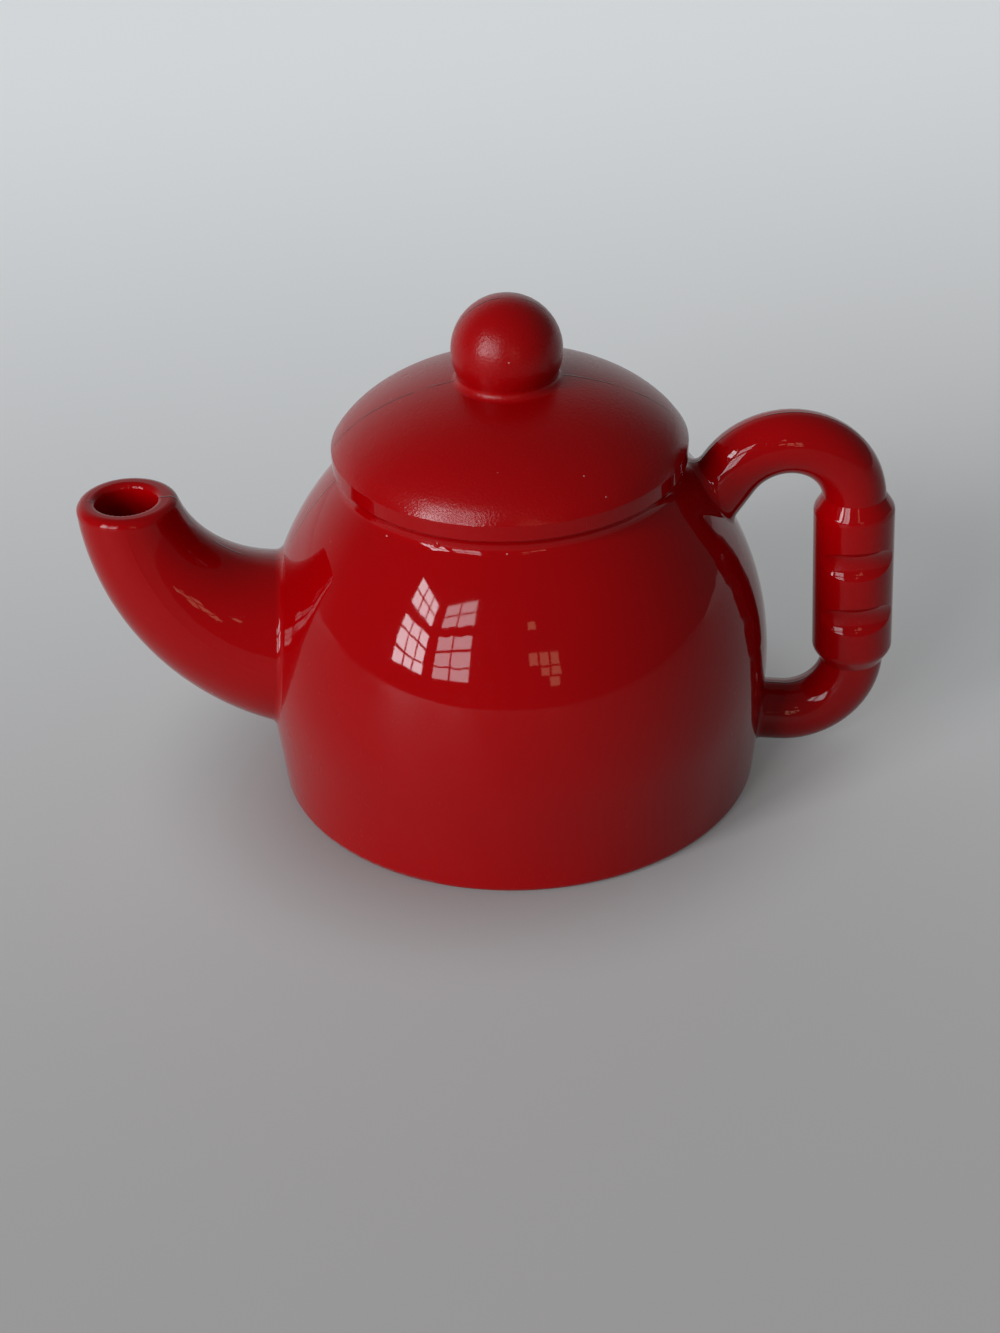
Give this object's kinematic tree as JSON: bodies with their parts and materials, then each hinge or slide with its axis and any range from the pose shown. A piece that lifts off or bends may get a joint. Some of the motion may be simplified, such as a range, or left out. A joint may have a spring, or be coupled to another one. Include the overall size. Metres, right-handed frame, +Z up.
{
  "type": "toy teapot",
  "caption": "Doll-scale play teapot moulded in one piece: round body with fixed domed lid and ball knob, curved spout, hook handle with a ridged grip.",
  "frame": {"origin": "middle of the footprint, on the plane that the base ring stands on", "axes": "+Z up, +X from the spout towards the handle along the mould's parting plane, +Y square to that plane"},
  "size_m": [0.0526, 0.033, 0.0336],
  "materials": {
    "red_plastic": "glossy red injection-moulded plastic, a little satin on the lid and knob"
  },
  "bodies": {
    "root": {"teapot": "red_plastic"}
  },
  "joints": []
}
